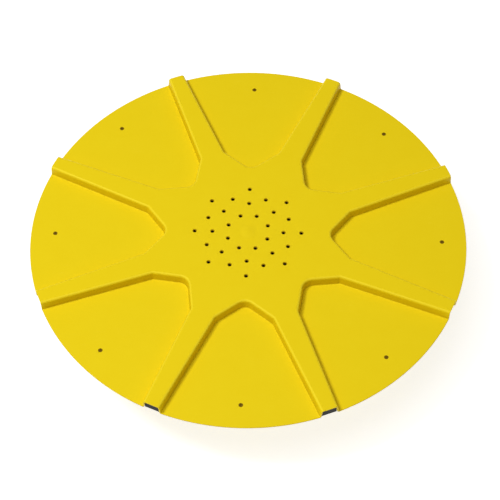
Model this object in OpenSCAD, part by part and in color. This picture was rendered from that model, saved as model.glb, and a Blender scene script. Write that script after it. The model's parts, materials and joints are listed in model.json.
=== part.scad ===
// Playground merry-go-round: a moulded deck on an eight-arm steel spider that turns on two taper
// roller bearings. Millimetres, +Z up, origin at the middle of the base plate's underside. The base
// plate is bolted to a foundation that lies below the finished ground.
// The sectors between the arms lie at 0, 45, 90 ... degrees and the arms half a step from them.

/* [Deck] */
// Diameter of the moulded deck
deck_d = 1500; // [1250:10:2000]
// Thickness of the moulded sheet
sheet_t = 5; // [4:0.5:7]
// Height of the channels and of the centre above the sector floors
channel_h = 34; // [32:1:42]
// Width of a channel's top face at the rim
channel_w_rim = 57; // [55:1:80]
// Width of a channel's top face where it joins the centre
channel_w_root = 88; // [76:1:110]
// Distance from the axis to where a channel's sides splay out into the centre
channel_root = 361; // [345:1:440]
// Radius of the raised centre, measured in the middle of a sector
centre_r = 285; // [265:1:300]
// Radius in plan of the inner end of a sector
sector_round = 38; // [20:1:44]
// Slope of the channel walls from the vertical, in degrees
wall_draft = 6; // [3:0.5:9]
// Radius of the channels' upper edges
edge_round = 10; // [8:0.5:14]
// Diameter of the drain holes in the centre
drain_d = 12.5; // [8:0.5:14]
// Height of the shallow dome in the middle of the deck
dome_h = 3; // [1:0.5:4]
// Radius of that dome
dome_r = 27; // [20:1:40]

/* [Frame] */
// Height of the rim hoop's underside above the foundation
hoop_height = 230; // [200:5:400]
// Width of a spider arm
arm_w = 40; // [30:1:42]
// Height of a spider arm
arm_h = 30; // [25:1:31]
// Wall of the arms and of the hoop
tube_wall = 3; // [2:0.5:4]
// Distance from the axis to the inner end of an arm
arm_start = 200; // [196:1:212]
// Distance from the rim to the outer end of an arm
arm_inset = 15; // [8:1:22]
// Size of the square tube that the rim hoop is rolled from
hoop_size = 30; // [25:1:36]
// Distance from the rim to the outside of the hoop
hoop_inset = 69; // [50:1:80]
// Radius of the hub plate that carries the arms
hub_plate_r = 330; // [325:1:345]
// Thickness of the hub plate
hub_plate_t = 6; // [5:1:10]

/* [Hub] */
// Outside diameter of the hub housing
housing_d = 120; // [116:1:130]
// Height of the hub housing
housing_h = 154; // [146:1:165]
// Bore of the lower taper roller bearing
lower_bore = 50; // [48:1:52]
// Outside diameter of the lower bearing
lower_od = 90; // [88:1:92]
// Bore of the upper taper roller bearing
upper_bore = 40; // [38:1:42]
// Outside diameter of the upper bearing
upper_od = 80; // [78:1:82]
// Number of rollers in each bearing
roller_count = 16; // [12:1:16]

/* [Base] */
// Diameter of the base plate
base_d = 300; // [280:5:400]
// Thickness of the base plate
base_t = 12; // [10:1:20]
// Diameter of the circle of anchor holes
anchor_pcd = 240; // [220:5:250]
// Diameter of the anchor holes
anchor_d = 18; // [14:1:22]
// Outside diameter of the post
post_d = 114; // [100:1:120]
// Wall of the post
post_wall = 5; // [4:0.5:8]
// Radius of the two flanges that join the spindle to the post
flange_r = 88; // [86:1:92]

/* [Hidden] */
$fn = 96;

step = 45;                             // angle between sectors
half = step / 2;                       // angle from a sector's middle to an arm
fit = 0.05;                            // radial clearance of a located or running fit
slack = 0.5;                           // radial clearance of a bolt in its hole
deck_r = deck_d / 2;
over = 1;                              // how far a cutter passes the face it cuts

// Heights, from the deck down to the foundation
z_frame = hoop_height + hoop_size;      // underside of the deck and the arms, top of hoop and hub plate
z_floor = z_frame + sheet_t;           // top of the sector floors
roof_z = channel_h - sheet_t;          // underside of the channel roofs, above the sector floors
z_roof = z_floor + roof_z;
housing_rise = 20;                     // the housing stands this far above the hub plate
z_housing = z_frame + housing_rise - housing_h;
flange_gap = 16;                       // between the spindle's flange and the housing
flange_t = 14;
cap_t = 12;
z_flange = z_housing - flange_gap;     // top of the spindle's flange
z_cap = z_flange - flange_t;           // top of the post's cap
z_lower = z_housing + 8;               // seat of the lower bearing
z_upper = z_frame + 2;                 // top of the upper bearing

// Taper bearings: the raceways, the rollers and the roller axes are cones with one shared apex
roller_tilt = 12;
roller_half = 2;
cone_angle = roller_tilt - roller_half;
cup_angle = roller_tilt + roller_half;
lower_t = 24.75;
lower_cup_t = 19;
lower_mid = 13;                        // height of the rollers' middle above the cone's back face
lower_len = 16;
lower_pitch = (lower_bore + lower_od) / 4 - 0.5;
upper_t = 19.75;
upper_cup_t = 16;
upper_mid = 10.5;
upper_len = 12.5;
upper_pitch = (upper_bore + upper_od) / 4 - 0.5;
shoulder_r = 32;                       // spindle under the lower bearing, where the seal runs
thread_r = upper_bore / 2 - 2;
nut_af = 55;
nut_h = 20;
nut_slot_h = 9;
washer_t = 3;
z_nut = z_upper + washer_t;
spindle_top = z_nut + nut_h + 2;
pin_r = 3;
z_pin = z_nut + nut_h - nut_slot_h / 2;
bore_mid_r = upper_od / 2 - 5;         // grease space between the bearings
z_nipple = z_housing + housing_h / 2 - 3;

// Fasteners
screw_d = 8;
screw_head_d = 16;
screw_head_h = 5;
bolt_d = 10;
bolt_af = 17;
bolt_head_h = 6.4;
flat_washer_t = 2;
flange_bolt_d = 12;
flange_bolt_af = 18;
flange_bolt_head_h = 7.5;
flange_nut_h = 10;
flange_bolt_r = 72;
flange_bolt_n = 6;
bush_d = 16;
spacer_d = 16;
csk_d = 15;                            // head of a countersunk rim screw
csk_h = 4.5;
csk_sink = 0.3;                        // the head lies this far below the sector floor
rim_nut_d = 11;
rim_nut_h = 14;
rim_screw_r = deck_r - hoop_inset - hoop_size / 2;
plate_drain_d = 14;
plug_gap = 0.5;                        // round an end plug in the mouth of its channel
plug_recess = 6;                       // from the rim in to an end plug's face
insert_d = 12;
insert_h = 7;
boss_d = 26;
gusset_t = 6;
hub_gusset_r = arm_start - 5;
hub_gusset_h = 85;
arm_bolt_places = [arm_start + 30, hub_plate_r - 30];
deck_screw_places = [channel_root + 4, deck_r - 150];
drain_rings = [[73, half], [122, 0], [150, half], [183, 0]]; // radius, angle from a sector's middle

// Shared shapes

module around(first = 0, count = 8) {
    for (i = [0 : count - 1]) rotate(first + i * 360 / count) children();
}

module hex(af, h) cylinder(d = af / cos(30), h = h, $fn = 6);

// A hex bolt hanging head down, or standing head up when flipped: its head's bearing face is at z = 0
module hex_bolt(d, af, head_h, length) {
    translate([0, 0, -head_h]) hex(af, head_h);
    translate([0, 0, -0.01]) cylinder(d = d, h = length + 0.01);
}

module washer(hole_d, outer_d, t) {
    difference() {
        cylinder(d = outer_d, h = t);
        translate([0, 0, -over]) cylinder(d = hole_d, h = t + 2 * over);
    }
}

module tube(outer_r, inner_r, h) {
    difference() {
        cylinder(r = outer_r, h = h);
        translate([0, 0, -over]) cylinder(r = inner_r, h = h + 2 * over);
    }
}

// Deck: plan of one sector, as seen with its middle along +X

function turned(p, a) = [p[0] * cos(a) - p[1] * sin(a), p[0] * sin(a) + p[1] * cos(a)];
root_point = turned([channel_root, -channel_w_root / 2], half);
rim_point = turned([deck_r, -channel_w_rim / 2], half);
side_angle = atan2(rim_point[1] - root_point[1], rim_point[0] - root_point[0]);
round_x = centre_r + sector_round;     // centre of the sector's round inner end
to_root = [root_point[0] - round_x, root_point[1]];
bevel_angle = atan2(to_root[1], to_root[0]) - asin(sector_round / norm(to_root));
side_normal = [-sin(side_angle), cos(side_angle)];
bevel_normal = [-sin(bevel_angle), cos(bevel_angle)];
far_x = deck_r * 1.1;
arc_steps = 12;

function cross2(a, b) = a[0] * b[1] - a[1] * b[0];
// Where two lines meet, each given by a point and a direction
function meet(p, u, q, v) = p + u * cross2(q - p, v) / cross2(u, v);

// Outline of the sector grown by o into the raised star
function sector_side(o) =
    let (
        u = [cos(side_angle), sin(side_angle)],
        v = [cos(bevel_angle), sin(bevel_angle)],
        p = root_point + o * side_normal,
        q = root_point + o * bevel_normal
    ) [meet(p, u, [far_x, 0], [0, 1]), meet(p, u, q, v)];
function sector_arc(o) = [
    for (i = [0 : arc_steps])
        let (a = 90 + bevel_angle + (180 - 2 * bevel_angle) * i / arc_steps)
        [round_x + (sector_round + o) * cos(a), (sector_round + o) * sin(a)]
];
function sector_outline(o) =
    let (s = sector_side(o))
    concat(s, sector_arc(o), [[s[1][0], -s[1][1]], [s[0][0], -s[0][1]]]);

// A solid through one sector outline per level, each level being [height, growth]
module sector_solid(levels) {
    n = arc_steps + 5;
    points = [for (l = levels) for (p = sector_outline(l[1])) [p[0], p[1], l[0]]];
    last = (len(levels) - 1) * n;
    sides = [
        for (k = [0 : len(levels) - 2]) for (i = [0 : n - 1])
            let (j = (i + 1) % n) [k * n + i, k * n + n + i, k * n + n + j, k * n + j]
    ];
    bottom = [for (i = [0 : n - 1]) i];
    top = [for (i = [n - 1 : -1 : 0]) last + i];
    polyhedron(points, concat([bottom, top], sides), convexity = 4);
}

// Growth of the sector at a height above its floor, and round a channel's upper edge
function wall_growth(z, inset) = (z - channel_h) * tan(wall_draft) + inset / cos(wall_draft);
edge_growth = edge_round * (1 / cos(wall_draft) - tan(wall_draft));
edge_steps = 4;
function edge_point(r, i) =
    let (a = 180 - wall_draft - (90 - wall_draft) * i / edge_steps)
    [channel_h - edge_round + r * sin(a), edge_growth + r * cos(a)];
// The last step runs on through the flat face that it meets
function edge_levels(r) = concat(
    [for (i = [0 : edge_steps - 1]) edge_point(r, i)],
    [2 * edge_point(r, edge_steps) - edge_point(r, edge_steps - 1)]
);

module sector_pocket() {
    sector_solid(concat([[0, wall_growth(0, 0)]], edge_levels(edge_round)));
}

module sector_core() {
    low = -sheet_t - 2 * over;
    sector_solid(concat([[low, wall_growth(low, sheet_t)]], edge_levels(edge_round - sheet_t)));
}

module deck_dome() {
    ball = (dome_r * dome_r + dome_h * dome_h) / (2 * dome_h);
    flat = 0.1;                        // taken off the dome's crown
    rotate_extrude() intersection() {
        translate([0, dome_h - ball]) circle(r = ball);
        translate([0, -sheet_t / 2]) square([dome_r + dome_h, sheet_t / 2 + dome_h - flat]);
    }
}

module deck_shell() {
    difference() {
        translate([0, 0, -sheet_t]) cylinder(r = deck_r, h = sheet_t + channel_h, $fn = 180);
        around() sector_pocket();
        difference() {
            translate([0, 0, -sheet_t - over]) cylinder(r = deck_r + over, h = roof_z + sheet_t + over);
            around() sector_core();
        }
    }
}

module deck() {
    boss_z = arm_h - sheet_t;
    color("gold") translate([0, 0, z_floor]) difference() {
        union() {
            deck_shell();
            translate([0, 0, channel_h]) deck_dome();
            for (r = deck_screw_places) around(half)
                translate([r, 0, boss_z]) cylinder(d = boss_d, h = channel_h - boss_z - sheet_t / 2);
        }
        for (ring = drain_rings) around(ring[1])
            translate([ring[0], 0, roof_z - over]) cylinder(d = drain_d, h = sheet_t + 2 * over);
        around() translate([rim_screw_r, 0, 0]) {
            translate([0, 0, -csk_sink - csk_h])
                cylinder(d1 = screw_d + 2 * fit, d2 = csk_d + 2 * fit, h = csk_h);
            translate([0, 0, -csk_sink - 0.01]) cylinder(d = csk_d + 2 * fit, h = csk_sink + over);
            translate([0, 0, -sheet_t - over]) cylinder(d = screw_d + 2 * fit, h = sheet_t);
        }
        for (r = deck_screw_places) around(half)
            translate([r, 0, boss_z - over]) cylinder(d = insert_d, h = insert_h + over);
    }
}

// Spider

module arm_tube() {
    difference() {
        translate([arm_start, -arm_w / 2, 0]) cube([deck_r - arm_inset - arm_start, arm_w, arm_h]);
        translate([arm_start - over, tube_wall - arm_w / 2, tube_wall])
            cube([deck_r, arm_w - 2 * tube_wall, arm_h - 2 * tube_wall]);
        for (r = arm_bolt_places) translate([r, 0, -over]) cylinder(d = bush_d, h = arm_h + 2 * over);
        for (r = deck_screw_places)
            translate([r, 0, -over]) cylinder(d = screw_d + 2 * slack, h = arm_h + 2 * over);
    }
}

module arm(i) color("lightslategray") rotate(half + i * step) translate([0, 0, z_frame]) arm_tube();

// Half the width of a channel's mouth, at a height above the sector floors
function mouth_half(z) =
    channel_w_rim / 2 + (channel_h - z) * tan(wall_draft) - sheet_t / cos(wall_draft) - plug_gap;

// A tongue in the arm's end, and a head that closes the mouth of the channel
module end_plug(i) {
    depth = 14;
    head_t = arm_inset - plug_recess;
    tongue_w = arm_w - 2 * tube_wall - 2 * fit;
    tongue_h = arm_h - 2 * tube_wall - 2 * fit;
    low = -sheet_t;
    high = roof_z - plug_gap;
    crop = edge_round - sheet_t;
    head = [
        [-mouth_half(low), low], [mouth_half(low), low],
        [mouth_half(high - crop), high - crop], [mouth_half(high) - crop, high],
        [crop - mouth_half(high), high], [-mouth_half(high - crop), high - crop]
    ];
    color("black") rotate(half + i * step) translate([deck_r - arm_inset, 0, z_floor]) {
        rotate([90, 0, 90]) linear_extrude(head_t) polygon(head);
        translate([0, 0, arm_h / 2 - sheet_t]) difference() {
            translate([-depth, -tongue_w / 2, -tongue_h / 2]) cube([depth + head_t / 2, tongue_w, tongue_h]);
            translate([-depth - over, tube_wall - tongue_w / 2, tube_wall - tongue_h / 2])
                cube([depth, tongue_w - 2 * tube_wall, tongue_h - 2 * tube_wall]);
        }
    }
}

module rim_hoop() {
    outer_r = deck_r - hoop_inset;
    vent_d = 8;
    color("lightslategray") difference() {
        translate([0, 0, hoop_height]) tube(outer_r, outer_r - hoop_size, hoop_size, $fn = 180);
        translate([0, 0, hoop_height + tube_wall])
            tube(outer_r - tube_wall, outer_r - hoop_size + tube_wall, hoop_size - 2 * tube_wall);
        around() {
            translate([rim_screw_r, 0, hoop_height - over]) cylinder(d = vent_d, h = tube_wall + 2 * over);
            translate([rim_screw_r, 0, z_frame - tube_wall - over])
                cylinder(d = rim_nut_d + 2 * fit, h = tube_wall + 2 * over);
        }
    }
}

module rim_nuts() {
    color("silver") around() translate([rim_screw_r, 0, z_frame - rim_nut_h])
        tube(rim_nut_d / 2, screw_d / 2 + fit, rim_nut_h);
}

module rim_screws() {
    socket_af = 5;
    length = 20;
    color("black") around() translate([rim_screw_r, 0, z_floor - csk_sink]) difference() {
        union() {
            translate([0, 0, -csk_h]) cylinder(d1 = screw_d, d2 = csk_d, h = csk_h);
            translate([0, 0, -length]) cylinder(d = screw_d, h = length - csk_h + 0.01);
        }
        translate([0, 0, -3]) hex(socket_af, 3 + over);
    }
}

module hub_plate() {
    color("lightslategray") translate([0, 0, z_frame - hub_plate_t]) difference() {
        cylinder(r = hub_plate_r, h = hub_plate_t);
        translate([0, 0, -over]) {
            cylinder(d = housing_d, h = hub_plate_t + 2 * over);
            for (r = arm_bolt_places) around(half)
                translate([r, 0, 0]) cylinder(d = bolt_d + 2 * slack, h = hub_plate_t + 2 * over);
            for (r = [drain_rings[1][0], drain_rings[3][0]]) around()
                translate([r, 0, 0]) cylinder(d = plate_drain_d, h = hub_plate_t + 2 * over);
        }
    }
}

module hub_gussets() {
    top = z_frame - hub_plate_t;
    toe = 12;
    profile = [
        [housing_d / 2, top - hub_gusset_h], [housing_d / 2 + toe, top - hub_gusset_h],
        [hub_gusset_r, top - toe], [hub_gusset_r, top], [housing_d / 2, top]
    ];
    color("lightslategray") around(half)
        rotate([90, 0, 0]) translate([0, 0, -gusset_t / 2]) linear_extrude(gusset_t) polygon(profile);
}

module arm_bushes() {
    color("silver") for (r = arm_bolt_places) around(half)
        translate([r, 0, z_frame]) tube(bush_d / 2 - fit, bolt_d / 2 + fit, arm_h);
}

module arm_bolts() {
    color("silver") for (r = arm_bolt_places) around(half)
        translate([r, 0, z_frame - hub_plate_t - flat_washer_t])
            hex_bolt(bolt_d, bolt_af, bolt_head_h, hub_plate_t + flat_washer_t + arm_h - 4);
}

module arm_washers() {
    color("silver") for (r = arm_bolt_places) around(half)
        translate([r, 0, z_frame - hub_plate_t - flat_washer_t])
            washer(bolt_d + 2 * slack, bolt_af + 3, flat_washer_t);
}

module deck_spacers() {
    color("silver") for (r = deck_screw_places) around(half)
        translate([r, 0, z_frame + tube_wall])
            tube(spacer_d / 2, screw_d / 2 + slack, arm_h - 2 * tube_wall);
}

module deck_screws() {
    socket_af = 5;
    color("silver") for (r = deck_screw_places) around(half)
        translate([r, 0, z_frame - flat_washer_t]) difference() {
            union() {
                translate([0, 0, -screw_head_h])
                    cylinder(d1 = screw_head_d - 6, d2 = screw_head_d, h = screw_head_h);
                translate([0, 0, -0.01]) cylinder(d = screw_d, h = flat_washer_t + arm_h + insert_h - 1);
            }
            translate([0, 0, -screw_head_h - over]) hex(socket_af, 3 + over);
        }
}

module deck_washers() {
    color("silver") for (r = deck_screw_places) around(half)
        translate([r, 0, z_frame - flat_washer_t])
            washer(screw_d + 2 * slack, screw_head_d + 4, flat_washer_t);
}

module deck_inserts() {
    color("goldenrod") for (r = deck_screw_places) around(half)
        translate([r, 0, z_frame + arm_h]) difference() {
            cylinder(d = insert_d - 2 * fit, h = insert_h);
            translate([0, 0, -over]) cylinder(d = screw_d + 2 * fit, h = insert_h + over - 0.5);
        }
}

// Hub and bearings

function apex(pitch, mid) = mid + pitch / tan(roller_tilt);
function cone_r(pitch, mid, z) = (apex(pitch, mid) - z) * tan(cone_angle) - fit;
function cup_r(pitch, mid, z) = (apex(pitch, mid) - z) * tan(cup_angle) + fit;
function roller_r(pitch, along) = (pitch / sin(roller_tilt) - along) * tan(roller_half);

// A taper bearing stands on its large end, at z = 0
module bearing_cone(bore, pitch, mid, length, width) {
    big = roller_r(pitch, -length / 2);
    // inner edge of the rollers' large ends, which the thrust rib follows
    rib_r = pitch + length / 2 * sin(roller_tilt) - big * cos(roller_tilt);
    rib_z = mid - length / 2 * cos(roller_tilt) - big * sin(roller_tilt) - 2 * fit;
    rib_w = 4;
    top_z = mid + length / 2 - 0.3;
    lip = 0.8;
    rotate_extrude() polygon([
        [bore / 2, 0],
        [rib_r + rib_w, 0],
        [rib_r + rib_w, rib_z + rib_w * tan(roller_tilt)],
        [cone_r(pitch, mid, rib_z), rib_z + (cone_r(pitch, mid, rib_z) - rib_r) * tan(roller_tilt)],
        [cone_r(pitch, mid, top_z), top_z],
        [cone_r(pitch, mid, top_z) + lip, top_z + lip],
        [cone_r(pitch, mid, top_z) + lip, width],
        [bore / 2, width]
    ]);
}

module bearing_cup(od, pitch, mid, from, width) {
    rotate_extrude() polygon([
        [cup_r(pitch, mid, from), from],
        [od / 2, from],
        [od / 2, from + width],
        [cup_r(pitch, mid, from + width), from + width]
    ]);
}

module bearing_rollers(pitch, mid, length) {
    around(0, roller_count) translate([pitch, 0, mid]) rotate([0, -roller_tilt, 0])
        translate([0, 0, -length / 2])
            cylinder(r1 = roller_r(pitch, -length / 2), r2 = roller_r(pitch, length / 2), h = length);
}

module bearing_cage(pitch, mid, length) {
    wall = 1.4;
    rise = 1.2;                        // outside the roller axes
    end = length / 2 + 2.6;
    window = roller_r(pitch, -length / 2) + 0.3;
    difference() {
        rotate_extrude() polygon([
            for (c = [[-1, 0], [1, 0], [1, 1], [-1, 1]])
                [pitch - c[0] * end * tan(roller_tilt) + rise + c[1] * wall, mid + c[0] * end]
        ]);
        around(0, roller_count) translate([pitch, 0, mid]) rotate([0, -roller_tilt, 0])
            translate([-window, -window, -length / 2 - 0.3]) cube([2 * window, 2 * window, length + 0.6]);
    }
}

module at_lower() translate([0, 0, z_lower]) children();
module at_upper() translate([0, 0, z_upper]) mirror([0, 0, 1]) children();

module hub_housing() {
    nipple_r = 5;
    color("lightslategray") difference() {
        translate([0, 0, z_housing]) cylinder(d = housing_d, h = housing_h);
        translate([0, 0, z_housing - over]) cylinder(d = lower_od, h = z_lower + lower_t - z_housing + over);
        translate([0, 0, z_housing + over]) cylinder(r = bore_mid_r, h = housing_h - 2 * over);
        translate([0, 0, z_upper - upper_t]) cylinder(d = upper_od, h = housing_h);
        translate([0, 0, z_nipple]) rotate([0, 90, 0]) cylinder(r = nipple_r, h = housing_d);
    }
}

module grease_nipple() {
    color("goldenrod") translate([0, 0, z_nipple]) rotate([0, 90, 0]) {
        translate([0, 0, housing_d / 2 - 10]) cylinder(r = 5 - fit, h = 10.5);
        translate([0, 0, housing_d / 2]) hex(11, 5);
        translate([0, 0, housing_d / 2 + 4.5]) cylinder(r1 = 4.2, r2 = 2.4, h = 4);
        translate([0, 0, housing_d / 2 + 10.5]) sphere(r = 3.2);
    }
}

module hub_seal() {
    gap = 0.1;
    case_w = 6;
    color("dimgray") translate([0, 0, z_lower - case_w - 1]) rotate_extrude() polygon([
        [lower_od / 2, 0], [lower_od / 2, case_w], [lower_od / 2 - 2, case_w], [lower_od / 2 - 2, 2],
        [shoulder_r + 3, 2], [shoulder_r + 1.5, case_w - 1], [shoulder_r + gap, case_w / 2],
        [shoulder_r + 1.5, 0]
    ]);
}

hub_cap_top = z_roof - 2;              // leaves room for the rubber pad under the deck

module hub_cap() {
    wall = 1.5;
    seat = 9;
    brim = 4;
    top_of_housing = z_frame + housing_rise;
    inner_r = upper_od / 2 - wall;
    color("silver") rotate_extrude() polygon([
        [0, hub_cap_top], [inner_r - 4, hub_cap_top], [inner_r, hub_cap_top - 4],
        [inner_r, top_of_housing + wall], [upper_od / 2 + brim, top_of_housing + wall],
        [upper_od / 2 + brim, top_of_housing], [upper_od / 2, top_of_housing],
        [upper_od / 2, top_of_housing - seat], [inner_r - wall + 1.5, top_of_housing - seat],
        [inner_r - wall, top_of_housing], [inner_r - wall, hub_cap_top - 4.6],
        [inner_r - 4.6, hub_cap_top - wall], [0, hub_cap_top - wall]
    ]);
}

module centre_pad() {
    color("dimgray") translate([0, 0, hub_cap_top]) cylinder(r = 32, h = z_roof - hub_cap_top);
}

module spindle() {
    cone_seat = z_lower;
    color("silver") difference() {
        union() {
            translate([0, 0, z_cap]) cylinder(r = flange_r, h = flange_t);
            translate([0, 0, z_cap - 10]) cylinder(r = 30, h = 10 + flange_t);
            translate([0, 0, z_cap]) cylinder(r = shoulder_r, h = cone_seat - z_cap);
            translate([0, 0, z_cap]) cylinder(d = lower_bore, h = cone_seat + lower_t + 4 - z_cap);
            translate([0, 0, z_cap]) cylinder(d = upper_bore, h = z_upper - z_cap);
            translate([0, 0, z_cap]) cylinder(r = thread_r, h = spindle_top - z_cap);
        }
        around(0, flange_bolt_n) translate([flange_bolt_r, 0, z_cap - over])
            cylinder(d = flange_bolt_d + 2 * slack, h = flange_t + 2 * over);
        translate([0, 0, z_pin]) rotate([0, 90, 0]) cylinder(r = pin_r, h = 4 * thread_r, center = true);
    }
}

module lock_washer() {
    color("silver") translate([0, 0, z_upper]) washer(2 * thread_r + 2 * fit, nut_af, washer_t);
}

module castle_nut() {
    color("silver") translate([0, 0, z_nut]) difference() {
        rotate(30) hex(nut_af, nut_h);
        translate([0, 0, -over]) cylinder(r = thread_r + fit, h = nut_h + 2 * over);
        for (a = [0, 60, 120]) rotate(a)
            translate([-nut_af, -pin_r - 0.5, nut_h - nut_slot_h])
                cube([2 * nut_af, 2 * pin_r + 1, nut_slot_h + over]);
    }
}

// A split pin through the nut's slots, with an eye at one end and two bent legs at the other
module split_pin() {
    wire_r = pin_r / 2;
    reach = nut_af / 2 + 2 * wire_r;
    color("silver") translate([0, 0, z_pin]) {
        rotate([0, 90, 0]) cylinder(r = pin_r - 2 * fit, h = 2 * reach, center = true);
        translate([reach + wire_r, 0, 0]) rotate([90, 0, 0])
            rotate_extrude() translate([pin_r, 0]) circle(r = wire_r);
        for (s = [-1, 1]) translate([-reach, s * wire_r, 0]) rotate([0, 0, -s * 65])
            rotate([0, -90, 0]) cylinder(r = wire_r - fit, h = 7);
    }
}

// Base

module base_plate() {
    color("lightslategray") difference() {
        cylinder(d = base_d, h = base_t);
        around(0, 4) translate([anchor_pcd / 2, 0, -over])
            cylinder(d = anchor_d, h = base_t + 2 * over);
    }
}

module base_post() {
    color("lightslategray") translate([0, 0, base_t])
        tube(post_d / 2, post_d / 2 - post_wall, z_cap - cap_t - base_t);
}

module base_gussets() {
    toe = 10;
    foot = base_d / 2 - 12;
    top = z_cap - cap_t - 4;
    profile = [
        [post_d / 2, base_t], [foot, base_t], [foot, base_t + toe],
        [post_d / 2 + toe, top], [post_d / 2, top]
    ];
    color("lightslategray") around(step, 4)
        rotate([90, 0, 0]) translate([0, 0, -gusset_t / 2]) linear_extrude(gusset_t) polygon(profile);
}

module post_cap() {
    color("lightslategray") translate([0, 0, z_cap - cap_t]) difference() {
        cylinder(r = flange_r, h = cap_t);
        translate([0, 0, -over]) cylinder(r = 30 + fit, h = cap_t + 2 * over);
        around(0, flange_bolt_n) translate([flange_bolt_r, 0, -over])
            cylinder(d = flange_bolt_d + 2 * slack, h = cap_t + 2 * over);
    }
}

module flange_bolts() {
    length = flat_washer_t + flange_t + cap_t + flat_washer_t + flange_nut_h + 3;
    color("silver") around(0, flange_bolt_n) translate([flange_bolt_r, 0, z_flange + flat_washer_t])
        mirror([0, 0, 1]) hex_bolt(flange_bolt_d, flange_bolt_af, flange_bolt_head_h, length);
}

module flange_washers() {
    color("silver") around(0, flange_bolt_n) for (z = [z_flange, z_cap - cap_t - flat_washer_t])
        translate([flange_bolt_r, 0, z]) washer(flange_bolt_d + 2 * slack, flange_bolt_af + 4, flat_washer_t);
}

module flange_nuts() {
    color("silver") around(0, flange_bolt_n)
        translate([flange_bolt_r, 0, z_cap - cap_t - flat_washer_t - flange_nut_h]) difference() {
            hex(flange_bolt_af, flange_nut_h);
            translate([0, 0, -over]) cylinder(d = flange_bolt_d + 2 * fit, h = flange_nut_h + 2 * over);
        }
}

base_plate();
base_post();
base_gussets();
post_cap();
spindle();
flange_bolts();
flange_washers();
flange_nuts();
color("silver") at_lower()  // lower_bearing_cone
    bearing_cone(lower_bore, lower_pitch, lower_mid, lower_len, 23);
color("silver") at_upper()  // upper_bearing_cone
    bearing_cone(upper_bore, upper_pitch, upper_mid, upper_len, 18);
lock_washer();
castle_nut();
split_pin();
color("silver") at_lower()  // lower_rollers
    bearing_rollers(lower_pitch, lower_mid, lower_len);
color("goldenrod") at_lower()  // lower_cage
    bearing_cage(lower_pitch, lower_mid, lower_len);
color("silver") at_upper()  // upper_rollers
    bearing_rollers(upper_pitch, upper_mid, upper_len);
color("goldenrod") at_upper()  // upper_cage
    bearing_cage(upper_pitch, upper_mid, upper_len);
hub_housing();
color("silver") at_lower()  // lower_bearing_cup
    bearing_cup(lower_od, lower_pitch, lower_mid, lower_t - lower_cup_t, lower_cup_t);
color("silver") at_upper()  // upper_bearing_cup
    bearing_cup(upper_od, upper_pitch, upper_mid, upper_t - upper_cup_t, upper_cup_t);
hub_seal();
hub_cap();
centre_pad();
grease_nipple();
hub_plate();
hub_gussets();
for (i = [0 : 7]) {
    arm(i);
    end_plug(i);
}
arm_bushes();
arm_bolts();
arm_washers();
deck_spacers();
deck_screws();
deck_washers();
deck_inserts();
rim_hoop();
rim_nuts();
rim_screws();
deck();
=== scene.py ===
import json
from math import atan2, asin, cos, hypot, pi, radians, sin, sqrt, tan
import bmesh
import bpy
from mathutils import Matrix, Vector
from mathutils.geometry import delaunay_2d_cdt


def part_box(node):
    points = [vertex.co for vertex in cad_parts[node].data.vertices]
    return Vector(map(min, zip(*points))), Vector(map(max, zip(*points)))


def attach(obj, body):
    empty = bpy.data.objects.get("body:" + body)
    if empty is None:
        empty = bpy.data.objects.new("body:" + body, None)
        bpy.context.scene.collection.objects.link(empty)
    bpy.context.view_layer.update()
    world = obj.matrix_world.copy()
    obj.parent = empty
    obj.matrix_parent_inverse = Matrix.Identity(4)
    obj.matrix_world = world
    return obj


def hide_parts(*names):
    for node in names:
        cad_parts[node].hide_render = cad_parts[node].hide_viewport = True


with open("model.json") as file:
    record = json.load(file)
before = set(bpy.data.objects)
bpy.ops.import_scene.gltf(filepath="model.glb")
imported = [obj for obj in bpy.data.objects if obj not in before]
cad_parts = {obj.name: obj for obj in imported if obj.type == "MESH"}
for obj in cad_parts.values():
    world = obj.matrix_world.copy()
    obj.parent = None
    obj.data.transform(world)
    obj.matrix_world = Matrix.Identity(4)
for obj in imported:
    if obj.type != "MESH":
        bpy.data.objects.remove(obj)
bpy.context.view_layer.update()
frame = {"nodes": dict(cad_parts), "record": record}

print("frame loaded:", len(frame["nodes"]), "nodes")


# camera, set first: looking down on the deck from the front

cameraView = {
    "aim": (0.0085, -0.0522, 0.265),
    "place": (0.1769, -3.5836, 5.2495),
    "roll": radians(-0.92),
    "lens": 128.43,
    "sensor": 36.0,
}


def setCamera(view):
    data = bpy.data.cameras.new("camera")
    data.lens = view["lens"]
    data.sensor_width = view["sensor"]
    camera = bpy.data.objects.new("camera", data)
    bpy.context.scene.collection.objects.link(camera)
    camera.location = view["place"]
    gaze = Vector(view["aim"]) - Vector(view["place"])
    turn = gaze.to_track_quat("-Z", "Y").to_matrix() @ Matrix.Rotation(view["roll"], 3, "Z")
    camera.rotation_euler = turn.to_euler()
    bpy.context.scene.camera = camera


setCamera(cameraView)


# materials

class Wire:
    # a node socket that sums can be written with
    def __init__(self, finish, socket):
        self.finish = finish
        self.socket = socket

    def math(self, operation, *values, clamp=False):
        inputs = dict(enumerate(values))
        return self.finish.node("ShaderNodeMath", {"operation": operation, "use_clamp": clamp}, inputs)

    def __add__(self, other):
        return self.math("ADD", self, other)

    def __radd__(self, other):
        return self.math("ADD", other, self)

    def __sub__(self, other):
        return self.math("SUBTRACT", self, other)

    def __rsub__(self, other):
        return self.math("SUBTRACT", other, self)

    def __mul__(self, other):
        return self.math("MULTIPLY", self, other)

    def clamped(self):
        return self.math("ADD", self, 0.0, clamp=True)

    def power(self, other):
        return self.math("POWER", self, other)

    def over(self, low, high):
        # 0 below low, 1 above high
        return self.finish.node("ShaderNodeMapRange", {"clamp": True}, {0: self, 1: low, 2: high})


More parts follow.
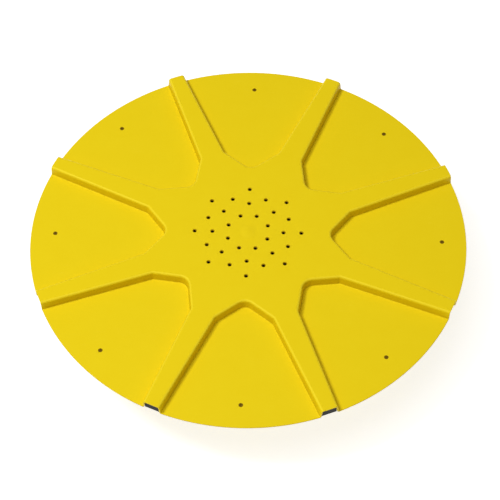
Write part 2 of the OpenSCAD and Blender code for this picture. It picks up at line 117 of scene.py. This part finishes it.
class Finish:
    # one material and the nodes that feed its shader
    def __init__(self, name):
        self.material = bpy.data.materials.new(name)
        self.material.use_nodes = True
        self.tree = self.material.node_tree
        self.shader = self.tree.nodes["Principled BSDF"]
        self.place = self.node("ShaderNodeTexCoord", output="Object")

    def node(self, kind, settings=None, inputs=None, output=0):
        made = self.tree.nodes.new(kind)
        for key, value in (settings or {}).items():
            setattr(made, key, value)
        for key, value in (inputs or {}).items():
            self.feed(made.inputs[key], value)
        return Wire(self, made.outputs[output])

    def feed(self, socket, value):
        if isinstance(value, Wire):
            self.tree.links.new(value.socket, socket)
        elif isinstance(value, tuple) and len(value) == 3 and socket.type == "RGBA":
            socket.default_value = (*value, 1.0)
        else:
            socket.default_value = value

    def noise(self, perMetre, detail=3.0, roughness=0.55, stretch=None):
        where = self.place
        if stretch:
            where = self.node("ShaderNodeVectorMath", {"operation": "MULTIPLY"}, {0: where, 1: stretch})
        inputs = {"Vector": where, "Scale": perMetre, "Detail": detail, "Roughness": roughness}
        return self.node("ShaderNodeTexNoise", {"noise_dimensions": "3D"}, inputs)

    def cells(self, perMetre, output="Distance"):
        inputs = {"Vector": self.place, "Scale": perMetre}
        return self.node("ShaderNodeTexVoronoi", {"feature": "F1"}, inputs, output)

    def part(self, axis):
        return self.node("ShaderNodeSeparateXYZ", None, {0: self.place}, axis)

    def radius(self):
        x = self.part("X")
        y = self.part("Y")
        return (x * x + y * y).power(0.5)

    def facing(self, axis, kind="Normal"):
        normal = self.node("ShaderNodeNewGeometry", output=kind)
        return self.node("ShaderNodeSeparateXYZ", None, {0: normal}, axis)

    def mix(self, mask, low, high):
        return self.node("ShaderNodeMix", {"data_type": "RGBA"}, {0: mask, 6: low, 7: high}, 2)

    def bump(self, height, strength, distance, below=None):
        inputs = {"Height": height, "Strength": strength, "Distance": distance}
        if below:
            inputs["Normal"] = below
        return self.node("ShaderNodeBump", None, inputs)

    def set(self, **values):
        for key, value in values.items():
            self.feed(self.shader.inputs[key.replace("_", " ")], value)
        return self.material


def yellowPlastic():
    f = Finish("yellow_plastic")
    look = {
        "plain": (0.80, 0.605, 0.0085),
        "paler": (0.83, 0.640, 0.016),
        "deeper": (0.775, 0.572, 0.0050),
        # painted shade: a deeper orange for the steep channel sides
        "walls": (0.77, 0.555, 0.0020),
        # painted highlight, partly wear: paler rounded top edges
        "rubbedAndHighlight": (0.90, 0.72, 0.035),
        # painted shade with dirt, also used for dust specks
        "dirtAndShade": (0.30, 0.15, 0.006),
        # painted shade: dark brown in the drain holes
        "holeShade": (0.36, 0.215, 0.004),
        "scuff": (0.90, 0.70, 0.08),
    }
    cloudy = f.noise(16.0, 5.0, 0.6).over(0.30, 0.70)
    flecks = f.noise(120.0, 2.0).over(0.60, 0.78)
    grain = f.noise(1500.0, 2.0)
    orangePeel = f.noise(170.0, 1.5)
    height = f.part("Z")
    upward = f.facing("Z")
    # painted shade: the steep sides are painted a deeper orange; painted highlight with wear: the rounded
    # top edges are painted paler; painted shade with dirt: darker at the foot of the channel sides
    steep = 1.0 - upward.over(0.30, 0.96)
    channelTop = deckFloor + deckSizes["channelHeight"]
    tilted = upward.over(0.45, 0.80) * (1.0 - upward.over(0.93, 0.995))
    shoulderHighlight = tilted * height.over(channelTop - 0.012, channelTop - 0.004)
    low = 1.0 - height.over(deckFloor + 0.0006, deckFloor + 0.012)
    corner = (low * steep * f.noise(46.0, 4.0).over(0.20, 0.75)).clamped()
    specks = f.cells(260.0, output="Distance")
    dust = (1.0 - specks.over(0.05, 0.16)) * f.noise(7.0).over(0.56, 0.70)
    streaks = f.noise(20.0, 5.0, 0.62, (1.0, 14.0, 1.0)).over(0.60, 0.74)
    scuffs = streaks * f.noise(5.0).over(0.50, 0.66)
    base = f.mix(cloudy * 0.35, look["plain"], look["deeper"])
    base = f.mix(flecks * 0.28, base, look["paler"])
    # painted shade: dark brown on the mouths and sides of the drain holes
    bevelled = 1.0 - f.facing("Z", "True Normal").over(0.75, 0.97)
    drainMouthShade = bevelled * (1.0 - f.radius().over(0.200, 0.225))
    # painted shade: steep sides mixed towards a deeper orange
    base = f.mix(steep * 0.60, base, look["walls"])
    # painted highlight, partly wear: rounded top edges mixed paler
    base = f.mix(shoulderHighlight * 0.45, base, look["rubbedAndHighlight"])
    base = f.mix(scuffs * 0.16, base, look["scuff"])
    # painted shade with dirt: darker at the foot of the channel sides
    base = f.mix(corner * 0.34, base, look["dirtAndShade"])
    # painted shade in the drain holes
    base = f.mix(drainMouthShade * 0.92, base, look["holeShade"])
    base = f.mix(dust * 0.10, base, look["dirtAndShade"])
    rough = 0.38 + cloudy * 0.06 + scuffs * 0.12 + corner * 0.20 + grain * 0.04
    relief = f.bump(grain, 0.25, 0.00012)
    relief = f.bump(orangePeel, 0.16, 0.0005, relief)
    return f.set(Base_Color=base, Roughness=rough, Normal=relief, Specular_IOR_Level=0.22,
                 Specular_Tint=(1.0, 0.80, 0.16))


def galvanisedSteel():
    f = Finish("galvanised_steel")
    look = {
        "dark": (0.245, 0.262, 0.275),
        "light": (0.42, 0.44, 0.455),
        "dull": (0.30, 0.315, 0.325),
        "bloom": (0.62, 0.63, 0.62),
        "runs": (0.23, 0.19, 0.15),
    }
    spangle = f.cells(75.0, output="Color")
    tone = f.node("ShaderNodeSeparateColor", None, {0: spangle}, "Red")
    bright = f.node("ShaderNodeSeparateColor", None, {0: spangle}, "Green")
    cloud = f.noise(6.0, 4.0).over(0.35, 0.68)
    bloom = f.noise(34.0, 5.0, 0.65).over(0.60, 0.75)
    runs = f.noise(22.0, 4.0, 0.6, (1.0, 1.0, 0.12)).over(0.62, 0.80)
    base = f.mix(tone, look["dark"], look["light"])
    base = f.mix(cloud * 0.45, base, look["dull"])
    base = f.mix(bloom * 0.35, base, look["bloom"])
    base = f.mix(runs * 0.22, base, look["runs"])
    rough = 0.36 + bright * 0.16 + cloud * 0.10 + bloom * 0.20
    relief = f.bump(f.cells(75.0), 0.12, 0.0004)
    relief = f.bump(f.noise(420.0, 3.0), 0.20, 0.0002, relief)
    return f.set(Base_Color=base, Roughness=rough, Metallic=0.85 - bloom * 0.5, Normal=relief)


def zincPlate():
    f = Finish("zinc_plated_steel")
    look = {
        "clear": (0.60, 0.61, 0.63),
        "blue": (0.52, 0.545, 0.58),
        "worn": (0.36, 0.34, 0.31),
    }
    tint = f.noise(60.0, 3.0).over(0.35, 0.7)
    worn = f.noise(180.0, 5.0, 0.65).over(0.60, 0.74)
    base = f.mix(tint, look["clear"], look["blue"])
    base = f.mix(worn * 0.35, base, look["worn"])
    rough = 0.24 + tint * 0.10 + worn * 0.22
    relief = f.bump(f.noise(900.0, 3.0), 0.18, 0.00008)
    return f.set(Base_Color=base, Roughness=rough, Metallic=0.95 - worn * 0.2, Normal=relief)


def bearingSteel():
    f = Finish("bearing_steel")
    look = {
        "bright": (0.57, 0.58, 0.60),
        "ground": (0.44, 0.45, 0.47),
        "oil": (0.33, 0.29, 0.22),
    }
    section = f.node("ShaderNodeCombineXYZ", None, {0: f.radius(), 2: f.part("Z")})
    rings = f.node("ShaderNodeTexNoise", None, {"Vector": section, "Scale": 2600.0, "Detail": 3.0})
    oil = f.noise(28.0, 4.0).over(0.42, 0.66)
    base = f.mix(rings * 0.6, look["bright"], look["ground"])
    base = f.mix(oil * 0.35, base, look["oil"])
    rough = 0.13 + rings * 0.12 + oil * 0.08
    relief = f.bump(rings, 0.12, 0.00005)
    return f.set(Base_Color=base, Roughness=rough, Metallic=0.97 - oil * 0.1, Normal=relief)


def pressedSteel():
    f = Finish("pressed_steel")
    look = {
        "light": (0.34, 0.32, 0.29),
        "dark": (0.24, 0.22, 0.19),
    }
    cloud = f.noise(90.0, 4.0).over(0.35, 0.7)
    base = f.mix(cloud, look["light"], look["dark"])
    rough = 0.34 + cloud * 0.16
    relief = f.bump(f.noise(1100.0, 3.0), 0.25, 0.00006)
    return f.set(Base_Color=base, Roughness=rough, Metallic=0.92 - cloud * 0.1, Normal=relief)


def blackOxide():
    f = Finish("black_oxide_steel")
    look = {
        "dark": (0.150, 0.088, 0.004),
        "light": (0.200, 0.118, 0.006),
        "worn": (0.24, 0.15, 0.02),
    }
    cloud = f.noise(240.0, 4.0).over(0.35, 0.7)
    worn = f.noise(700.0, 4.0, 0.6).over(0.62, 0.76)
    base = f.mix(cloud, look["dark"], look["light"])
    base = f.mix(worn * 0.4, base, look["worn"])
    rough = 0.60 + cloud * 0.14
    relief = f.bump(f.noise(1600.0, 2.0), 0.2, 0.00005)
    return f.set(Base_Color=base, Roughness=rough, Metallic=0.05 + worn * 0.2, Normal=relief,
                 Specular_IOR_Level=0.06)


def blackRubber():
    f = Finish("black_rubber")
    look = {
        "clean": (0.014, 0.014, 0.015),
        "bloom": (0.045, 0.044, 0.042),
    }
    bloom = f.noise(45.0, 5.0, 0.6).over(0.5, 0.75)
    base = f.mix(bloom, look["clean"], look["bloom"])
    rough = 0.62 + bloom * 0.2
    relief = f.bump(f.noise(1300.0, 3.0), 0.35, 0.0001)
    return f.set(Base_Color=base, Roughness=rough, Normal=relief)


def blackPlastic():
    f = Finish("black_plastic")
    look = {
        "fresh": (0.004, 0.004, 0.003),
        "faded": (0.012, 0.011, 0.009),
    }
    faded = f.noise(30.0, 4.0).over(0.42, 0.7)
    grain = f.cells(1400.0)
    base = f.mix(faded, look["fresh"], look["faded"])
    rough = 0.46 + faded * 0.16
    relief = f.bump(grain, 0.30, 0.00008)
    return f.set(Base_Color=base, Roughness=rough, Normal=relief, Specular_IOR_Level=0.16)


def turnedBrass():
    f = Finish("brass")
    look = {
        "bright": (0.62, 0.43, 0.15),
        "tarnished": (0.33, 0.21, 0.08),
    }
    tarnish = f.noise(150.0, 5.0, 0.6).over(0.42, 0.7)
    lathe = f.noise(900.0, 2.0, 0.5, (0.15, 0.15, 1.0))
    base = f.mix(tarnish, look["bright"], look["tarnished"])
    rough = 0.26 + tarnish * 0.22
    relief = f.bump(lathe, 0.2, 0.00006)
    return f.set(Base_Color=base, Roughness=rough, Metallic=0.96 - tarnish * 0.2, Normal=relief)


def weldMetal():
    f = Finish("weld_metal")
    look = {
        "bead": (0.30, 0.31, 0.32),
        "heated": (0.43, 0.44, 0.445),
        "spatter": (0.20, 0.20, 0.20),
    }
    heat = f.noise(50.0, 4.0).over(0.38, 0.66)
    spatter = f.cells(420.0).over(0.04, 0.22)
    base = f.mix(heat, look["bead"], look["heated"])
    base = f.mix((1.0 - spatter) * 0.4, base, look["spatter"])
    rough = 0.40 + heat * 0.18
    relief = f.bump(f.noise(600.0, 3.0), 0.3, 0.00015)
    return f.set(Base_Color=base, Roughness=rough, Metallic=0.85 - heat * 0.1, Normal=relief)


# the moulded deck: sunken sectors between radial channels, in one sheet

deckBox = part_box("deck")
deckSizes = {
    "sheet": 0.005,
    "channelHeight": 0.034,
    "rootDistance": 0.361,
    "rootWidth": 0.088,
    "rimWidth": 0.057,
    "centreRadius": 0.285,
    "apexRound": 0.038,
    "rootRound": 0.010,
    "edgeRound": 0.010,
    "floorRound": 0.003,
    "draft": radians(6),
    "rimRound": 0.0016,
    "sectors": 8,
    "drainRings": ((0.073, 0.5), (0.122, 0.0), (0.150, 0.5), (0.183, 0.0)),  # radius, turn in sectors
    "drainRadius": 0.0054,
    "drainChamfer": 0.0024,
    "drainBreak": 0.0004,
    "screwRadius": 0.666,
    "screwHead": 0.00755,
    "screwEdge": 0.0004,
    "screwShank": 0.00405,
    "screwSink": 0.0003,
    "screwCone": 0.0048,
    "domeRadius": 0.027,
    "domeHeight": 0.0029,
    "domeBlend": 0.004,
    "domeShape": 1.6,
}
# how many spans each round or run of the sheet is cut into
deckSpans = {
    "root": 5,
    "side": 6,
    "apex": 28,
    "foot": 5,
    "edge": 8,
    "wall": 4,
    "sectorRim": 20,
    "channelRim": 8,
    "rimRound": 4,
    "hole": 40,
    "dome": 72,
    "domeRows": 14,
}
sectorStep = 2 * pi / deckSizes["sectors"]
armAngles = [(arm + 0.5) * sectorStep for arm in range(deckSizes["sectors"])]
deckRadius = -deckBox[0].x
deckFloor = deckBox[0].z + deckSizes["sheet"]


def polar(radius, angle):
    return Vector((radius * cos(angle), radius * sin(angle)))


def turnPlan(point, angle):
    x = point.x * cos(angle) - point.y * sin(angle)
    y = point.x * sin(angle) + point.y * cos(angle)
    return Vector((x, y))


def arcPoints(centre, radius, start, end, steps):
    return [centre + polar(radius, start + (end - start) * i / steps) for i in range(steps + 1)]


def sectorLines(sizes):
    # the side of the channel at +half a step, and the splay from its root to the round inner end
    half = sectorStep / 2
    root = turnPlan(Vector((sizes["rootDistance"], -sizes["rootWidth"] / 2)), half)
    rim = turnPlan(Vector((deckRadius, -sizes["rimWidth"] / 2)), half)
    side = atan2(rim.y - root.y, rim.x - root.x)
    apex = Vector((sizes["centreRadius"] + sizes["apexRound"], 0.0))
    reach = root - apex
    splay = atan2(reach.y, reach.x) - asin(sizes["apexRound"] / reach.length)
    return root, side, splay, apex


def sectorOutline(sizes, grow, rim):
    # open outline of one sector in plan, from its +side rim round the inner end to its -side rim
    root, side, splay, apex = sectorLines(sizes)
    along = polar(1.0, side)
    sideOut = polar(1.0, side + pi / 2)
    splayOut = polar(1.0, splay + pi / 2)
    bend = splay - side
    corner = root - (sideOut + splayOut) * (sizes["rootRound"] / (1 + cos(bend)))
    start = root + sideOut * grow
    reach = start.dot(along)
    far = start + along * (sqrt(rim * rim - start.length_squared + reach * reach) - reach)
    bendArc = arcPoints(corner, sizes["rootRound"] + grow, side + pi / 2, splay + pi / 2, deckSpans["root"])
    spans = deckSpans["side"]
    sideRun = [far.lerp(bendArc[0], i / spans) for i in range(spans)]
    apexStart = splay + pi / 2
    apexArc = arcPoints(apex, sizes["apexRound"] + grow, apexStart, 2 * pi - apexStart, deckSpans["apex"])
    upper = sideRun + bendArc
    mirrored = [Vector((p.x, -p.y)) for p in reversed(upper)]
    return upper + apexArc + mirrored


def wallProfile(sizes, depth):
    # growth and height from the floor to the channel's top, on the outside or one sheet below it
    draft = sizes["draft"]
    top = sizes["channelHeight"]
    edge = sizes["edgeRound"] - depth
    foot = sizes["floorRound"] + depth
    edgeGrow = sizes["edgeRound"] * (1 / cos(draft) - tan(draft))
    footGrow = (sizes["floorRound"] - top) * tan(draft) - sizes["floorRound"] / cos(draft)
    edgeCentre = Vector((edgeGrow, top - sizes["edgeRound"]))
    footCentre = Vector((footGrow, sizes["floorRound"]))
    low = arcPoints(footCentre, foot, -pi / 2, -draft, deckSpans["foot"])
    high = arcPoints(edgeCentre, edge, pi - draft, pi / 2, deckSpans["edge"])
    spans = deckSpans["wall"]
    middle = [low[-1].lerp(high[0], i / spans) for i in range(1, spans)]
    return low + middle + high


def fillFlat(mesh, loops):
    # triangles between a flat outline, which comes first, and the holes in it
    ring = []
    edges = []
    owner = []
    for number, loop in enumerate(loops):
        first = len(ring)
        count = len(loop)
        ring += loop
        edges += [(first + i, first + (i + 1) % count) for i in range(count)]
        owner += [number] * count
    flat = [v.co.xy for v in ring]
    _, _, faces, sources, _, _ = delaunay_2d_cdt(flat, edges, [], 1, 1e-8)
    for face in faces:
        corners = [sources[corner][0] for corner in face]
        owners = {owner[corner] for corner in corners}
        if len(owners) > 1 or 0 in owners:
            mesh.faces.new([ring[corner] for corner in corners])


def bridge(mesh, rowA, rowB, closed=False):
    count = len(rowA)
    for i in range(count if closed else count - 1):
        j = (i + 1) % count
        mesh.faces.new((rowA[i], rowA[j], rowB[j], rowB[i]))


def ringOf(mesh, centre, radius, height, count):
    return [mesh.verts.new((*(centre + polar(radius, 2 * pi * i / count)), height)) for i in range(count)]


def deckSheet(mesh, sizes, depth, rim):
    # one face of the sheet: returns its loops at the rim and on its flats
    profile = wallProfile(sizes, depth)
    floors = []
    edges = []
    tops = []
    for sector in range(sizes["sectors"]):
        angle = sector * sectorStep
        rows = []
        for grow, height in profile:
            outline = [turnPlan(p, angle) for p in sectorOutline(sizes, grow, rim)]
            rows.append([mesh.verts.new((*p, deckFloor + height)) for p in outline])
        for lower, upper in zip(rows, rows[1:]):
            bridge(mesh, lower, upper)
        floorArc = rimArc(mesh, rows[0][-1], rows[0][0], deckSpans["sectorRim"])
        floors.append(rows[0] + floorArc)
        tops.append(list(reversed(rows[-1])))
        edges.append([row[-1] for row in reversed(rows)] + floorArc + [row[0] for row in rows])
    star = []
    perimeter = []
    for top, following, edge in zip(tops, tops[1:] + tops[:1], edges):
        join = rimArc(mesh, top[-1], following[0], deckSpans["channelRim"])
        star += top + join
        perimeter += edge + join
    return star, floors, perimeter


def rimArc(mesh, start, end, steps):
    # points between two at the rim, round the axis
    angleA = atan2(start.co.y, start.co.x)
    angleB = atan2(end.co.y, end.co.x)
    if angleB < angleA:
        angleB += 2 * pi
    radius = start.co.xy.length
    arc = [polar(radius, angleA + (angleB - angleA) * i / steps) for i in range(1, steps)]
    return [mesh.verts.new((*p, start.co.z)) for p in arc]


def closeRim(mesh, sizes, above, below):
    # rounds the sheet over its outer edge
    roundness = sizes["rimRound"]
    share = roundness / sizes["sheet"]
    steps = deckSpans["rimRound"]
    rows = [above]
    turns = [(i + 1) / steps * pi / 2 for i in range(steps)]
    blends = [(sin(t), share * (1 - cos(t))) for t in turns]
    blends += [(out, 1 - blend) for out, blend in reversed(blends)]
    for out, blend in blends:
        row = []
        for a, b in zip(above, below):
            point = a.co.lerp(b.co, blend)
            plan = point.xy.normalized() * (deckRadius - roundness + roundness * out)
            row.append(mesh.verts.new((*plan, point.z)))
        rows.append(row)
    rows.append(below)
    for upper, lower in zip(rows, rows[1:]):
        bridge(mesh, upper, lower, closed=True)


def drill(mesh, centre, steps):
    # a hole whose rings go down through the sheet; returns the first and last ring
    rings = [ringOf(mesh, centre, radius, height, deckSpans["hole"]) for radius, height in steps]
    for upper, lower in zip(rings, rings[1:]):
        bridge(mesh, upper, lower, closed=True)
    return rings[0], rings[-1]


def deckDome(mesh, sizes, top):
    # shallow crown in the middle, blended into the flat round it
    centre = Vector((0, 0))
    count = deckSpans["dome"]
    steps = deckSpans["domeRows"]
    reach = sizes["domeRadius"] + sizes["domeBlend"]
    rows = [ringOf(mesh, centre, reach, top, count)]
    for i in range(1, steps):
        share = 1 - i / steps
        rise = cos(share * pi / 2) ** sizes["domeShape"]
        rows.append(ringOf(mesh, centre, reach * share, top + sizes["domeHeight"] * rise, count))
    for upper, lower in zip(rows, rows[1:]):
        bridge(mesh, upper, lower, closed=True)
    crown = mesh.verts.new((0, 0, top + sizes["domeHeight"]))
    last = rows[-1]
    for i in range(count):
        mesh.faces.new((last[i], last[(i + 1) % count], crown))
    return rows[0]


def finishMesh(mesh, name, finish, body):
    # closes the mesh into a smooth-shaded piece that rides a body
    bmesh.ops.remove_doubles(mesh, verts=mesh.verts, dist=1e-6)
    bmesh.ops.recalc_face_normals(mesh, faces=mesh.faces)
    for face in mesh.faces:
        face.smooth = True
    data = bpy.data.meshes.new(name)
    mesh.to_mesh(data)
    mesh.free()
    piece = bpy.data.objects.new(name, data)
    bpy.context.scene.collection.objects.link(piece)
    data.materials.append(finish)
    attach(piece, body)
    return piece


def evenNormals(piece):
    # keeps the flats flat in shade and the sharp edges sharp
    edge = piece.modifiers.new("sharp edges", "EDGE_SPLIT")
    edge.split_angle = radians(50)
    edge.use_edge_sharp = False
    piece.modifiers.new("even normals", "WEIGHTED_NORMAL")


def drainHoles(mesh, sizes, top):
    # rings of eight, each hole with a wide mouth above and a broken edge below
    narrow = sizes["drainRadius"]
    chamfer = sizes["drainChamfer"]
    flare = sizes["drainBreak"]
    under = top - sizes["sheet"]
    steps = (
        (narrow + chamfer, top),
        (narrow, top - chamfer),
        (narrow, under + flare),
        (narrow + flare, under),
    )
    holes = []
    for radius, turn in sizes["drainRings"]:
        for sector in range(sizes["sectors"]):
            holes.append(drill(mesh, polar(radius, (sector + turn) * sectorStep), steps))
    return holes


def screwHole(mesh, sizes, sector):
    # countersunk, a little below flush
    head = sizes["screwHead"]
    shank = sizes["screwShank"]
    steps = (
        (head + sizes["screwEdge"], deckFloor),
        (head, deckFloor - sizes["screwSink"]),
        (shank, deckFloor - sizes["screwCone"]),
        (shank, deckFloor - sizes["sheet"]),
    )
    return drill(mesh, polar(sizes["screwRadius"], sector * sectorStep), steps)


def makeDeck(sizes, finish):
    mesh = bmesh.new()
    rim = deckRadius - sizes["rimRound"]
    star, floors, above = deckSheet(mesh, sizes, 0.0, rim)
    underStar, underFloors, below = deckSheet(mesh, sizes, sizes["sheet"], rim)
    closeRim(mesh, sizes, above, below)
    top = deckFloor + sizes["channelHeight"]
    holes = drainHoles(mesh, sizes, top)
    fillFlat(mesh, [star] + [hole[0] for hole in holes] + [deckDome(mesh, sizes, top)])
    fillFlat(mesh, [underStar] + [hole[1] for hole in holes])
    for sector in range(sizes["sectors"]):
        hole = screwHole(mesh, sizes, sector)
        fillFlat(mesh, [floors[sector], hole[0]])
        fillFlat(mesh, [underFloors[sector], hole[1]])
    piece = finishMesh(mesh, "moulded_deck", finish, "platform")
    evenNormals(piece)
    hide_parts("deck")


# the bosses under the channel roofs, round the threaded inserts

bossSizes = {
    "radius": 0.013,
    "bore": 0.0061,
    "edge": 0.0008,
    "places": (0.365, 0.600),
    "root": 0.0006,
    "facets": 32,
}


def lathe(mesh, centre, profile, count):
    # turns a closed profile of radius and height about a vertical axis
    rings = [ringOf(mesh, centre, radius, height, count) for radius, height in profile]
    for upper, lower in zip(rings, rings[1:] + rings[:1]):
        bridge(mesh, upper, lower, closed=True)


def makeBosses(sizes, finish):
    mesh = bmesh.new()
    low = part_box("arm_1")[1].z
    high = deckFloor + deckSizes["channelHeight"] - deckSizes["sheet"] + sizes["root"]
    edge = sizes["edge"]
    outside = sizes["radius"]
    bore = sizes["bore"]
    profile = ((bore, low), (outside - edge, low), (outside, low + edge), (outside, high), (bore, high))
    for place in sizes["places"]:
        for angle in armAngles:
            lathe(mesh, polar(place, angle), profile, sizes["facets"])
    piece = finishMesh(mesh, "deck_bosses", finish, "platform")
    evenNormals(piece)


# weld beads, where the pieces of the frame meet

weldSizes = {
    "bead": 0.0032,
    "smallBead": 0.0026,
    "ripple": 0.0042,
    "rippleDepth": 0.10,
    "facets": 10,
    "startShare": 0.45,  # thickness of a run at its ends, and its growth at each step from them
    "startGrowth": 0.3,
    "baseGussets": 4,
    "gusset": 0.006,
    "gussetClear": 0.004,
    "gussetStop": 0.002,
    "baseToe": 0.003,
    "hubToe": 0.192,
    "hubHead": 0.002,
    "armHalf": 0.020,
    "hoopStop": 0.002,
}


def bead(mesh, path, radius, closed):
    # a rippled run of weld along a path of points
    count = len(path)
    rows = []
    run = 0.0
    for i, point in enumerate(path):
        before = path[i - 1] if i or closed else point
        after = path[(i + 1) % count] if closed or i + 1 < count else point
        run += (point - before).length
        along = (after - before).normalized()
        side = along.orthogonal().normalized()
        across = along.cross(side)
        wave = 1 + weldSizes["rippleDepth"] * abs(sin(pi * run / weldSizes["ripple"]))
        taper = 1.0
        if not closed:
            steps = min(i, count - 1 - i)
            taper = min(1.0, weldSizes["startShare"] + weldSizes["startGrowth"] * steps)
        reach = radius * wave * taper
        facets = weldSizes["facets"]
        turns = [2 * pi * k / facets for k in range(facets)]
        rows.append([mesh.verts.new(point + (side * cos(t) + across * sin(t)) * reach) for t in turns])
    for a, b in zip(rows, rows[1:]):
        bridge(mesh, a, b, closed=True)
    if closed:
        joinRings(mesh, rows[-1], rows[0])
    else:
        mesh.faces.new(reversed(rows[0]))
        mesh.faces.new(rows[-1])


def joinRings(mesh, last, first):
    # the rings of a closed bead may meet turned about its path
    count = len(last)
    shift = min(range(count), key=lambda k: (last[0].co - first[k].co).length)
    bridge(mesh, last, [first[(i + shift) % count] for i in range(count)], closed=True)


def weldSteps(length):
    # three to a ripple
    return max(6, int(length / (weldSizes["ripple"] / 3)))


def weldRing(mesh, radius, height):
    count = weldSteps(2 * pi * radius)
    path = [Vector((*polar(radius, 2 * pi * i / count), height)) for i in range(count)]
    bead(mesh, path, weldSizes["bead"], True)


def weldLine(mesh, start, end):
    steps = weldSteps((end - start).length)
    path = [start.lerp(end, i / steps) for i in range(steps + 1)]
    bead(mesh, path, weldSizes["smallBead"], False)


def onArm(angle, radius, aside, height):
    # a point beside a radial piece: so far out, so far across it, so high
    return Vector((*(polar(radius, angle) + polar(aside, angle + pi / 2)), height))


def gussetWelds(mesh, angles, inner, toe, foot, head):
    # both sides of each gusset, along its foot on the plate and up the tube
    for angle in angles:
        for side in (-1, 1):
            aside = side * weldSizes["gusset"] / 2
            heel = onArm(angle, inner + weldSizes["gussetClear"], aside, foot)
            weldLine(mesh, heel, onArm(angle, toe - weldSizes["gussetStop"], aside, foot))
            weldLine(mesh, onArm(angle, inner, aside, foot), onArm(angle, inner, aside, head))


def makeBaseWelds(finish):
    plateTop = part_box("base_plate")[1].z
    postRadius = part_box("base_post")[1].x
    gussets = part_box("base_gussets")
    mesh = bmesh.new()
    for height in (plateTop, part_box("post_cap")[0].z):
        weldRing(mesh, postRadius, height)
    count = weldSizes["baseGussets"]
    angles = [(k + 0.5) * 2 * pi / count for k in range(count)]
    toe = hypot(gussets[1].x, gussets[1].y) - weldSizes["baseToe"]
    gussetWelds(mesh, angles, postRadius, toe, plateTop, gussets[1].z)
    finishMesh(mesh, "base_welds", finish, "base")


def makeHubWelds(finish):
    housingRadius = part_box("hub_housing")[1].x
    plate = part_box("hub_plate")
    mesh = bmesh.new()
    for corner in plate:
        weldRing(mesh, housingRadius, corner.z)
    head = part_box("hub_gussets")[0].z + weldSizes["hubHead"]
    gussetWelds(mesh, armAngles, housingRadius, weldSizes["hubToe"], plate[0].z, head)
    finishMesh(mesh, "hub_welds", finish, "platform")


def makeHoopWelds(finish):
    # each arm is welded to the hoop along its sides and across both faces of the hoop
    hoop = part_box("rim_hoop")
    top = hoop[1].z
    outer = hoop[1].x
    inner = outer - (top - hoop[0].z)
    armHalf = weldSizes["armHalf"]
    stop = weldSizes["hoopStop"]
    mesh = bmesh.new()
    for angle in armAngles:
        for aside in (-armHalf, armHalf):
            weldLine(mesh, onArm(angle, inner + stop, aside, top), onArm(angle, outer - stop, aside, top))
        across = armHalf - stop
        for radius in (inner, outer):
            reach = sqrt(radius ** 2 - across ** 2)
            weldLine(mesh, onArm(angle, reach, -across, top), onArm(angle, reach, across, top))
    finishMesh(mesh, "hoop_welds", finish, "platform")


# light and floor

stageSizes = {
    "floor": 60.0,
    "floorColour": (0.52, 0.54, 0.57),
    "floorGlow": 0.75,
    "key": {"place": (-4.7, -0.7, 9.2), "size": 2.8, "power": 548.0, "tint": (0.93, 0.98, 1.0)},
    "fill": {"place": (-0.9, -1.2, 6.6), "size": 4.6, "power": 172.0, "tint": (1.0, 0.98, 0.95)},
    "sky": (1.0, 0.91, 0.80),
    "skyPower": 0.22,
}


def areaLight(name, sizes):
    data = bpy.data.lights.new(name, "AREA")
    data.shape = "DISK"
    data.size = sizes["size"]
    data.energy = sizes["power"]
    data.color = sizes["tint"]
    lamp = bpy.data.objects.new(name, data)
    bpy.context.scene.collection.objects.link(lamp)
    lamp.location = sizes["place"]
    lamp.rotation_euler = (-Vector(sizes["place"])).to_track_quat("-Z", "Y").to_euler()


def makeStage(sizes):
    f = Finish("stage_floor")
    f.set(Base_Color=sizes["floorColour"], Roughness=0.9)
    f.set(Emission_Color=(1.0, 1.0, 1.0), Emission_Strength=sizes["floorGlow"])
    mesh = bmesh.new()
    half = sizes["floor"] / 2
    corners = ((-half, -half), (half, -half), (half, half), (-half, half))
    mesh.faces.new([mesh.verts.new((*corner, 0.0)) for corner in corners])
    data = bpy.data.meshes.new("floor")
    mesh.to_mesh(data)
    mesh.free()
    floor = bpy.data.objects.new("floor", data)
    bpy.context.scene.collection.objects.link(floor)
    data.materials.append(f.material)
    areaLight("key_light", sizes["key"])
    areaLight("fill_light", sizes["fill"])
    world = bpy.data.worlds.new("studio")
    world.use_nodes = True
    sky = world.node_tree.nodes["Background"]
    sky.inputs["Color"].default_value = (*sizes["sky"], 1.0)
    sky.inputs["Strength"].default_value = sizes["skyPower"]
    bpy.context.scene.world = world
    bpy.context.scene.view_settings.view_transform = "Standard"


finishes = {
    "yellow_plastic": yellowPlastic(),
    "galvanised_steel": galvanisedSteel(),
    "zinc_plated_steel": zincPlate(),
    "bearing_steel": bearingSteel(),
    "pressed_steel": pressedSteel(),
    "black_oxide_steel": blackOxide(),
    "black_rubber": blackRubber(),
    "black_plastic": blackPlastic(),
    "brass": turnedBrass(),
}
print("finishes made:", len(finishes))

for part in frame["record"]["subparts"]:
    node = frame["nodes"][part["node"]]
    for materialSlot in node.material_slots:
        materialSlot.material = finishes[part["material_slot"]]

makeDeck(deckSizes, finishes["yellow_plastic"])
makeBosses(bossSizes, finishes["yellow_plastic"])
print("deck made")
welded = weldMetal()
makeBaseWelds(welded)
makeHubWelds(welded)
makeHoopWelds(welded)
print("welds made")
makeStage(stageSizes)
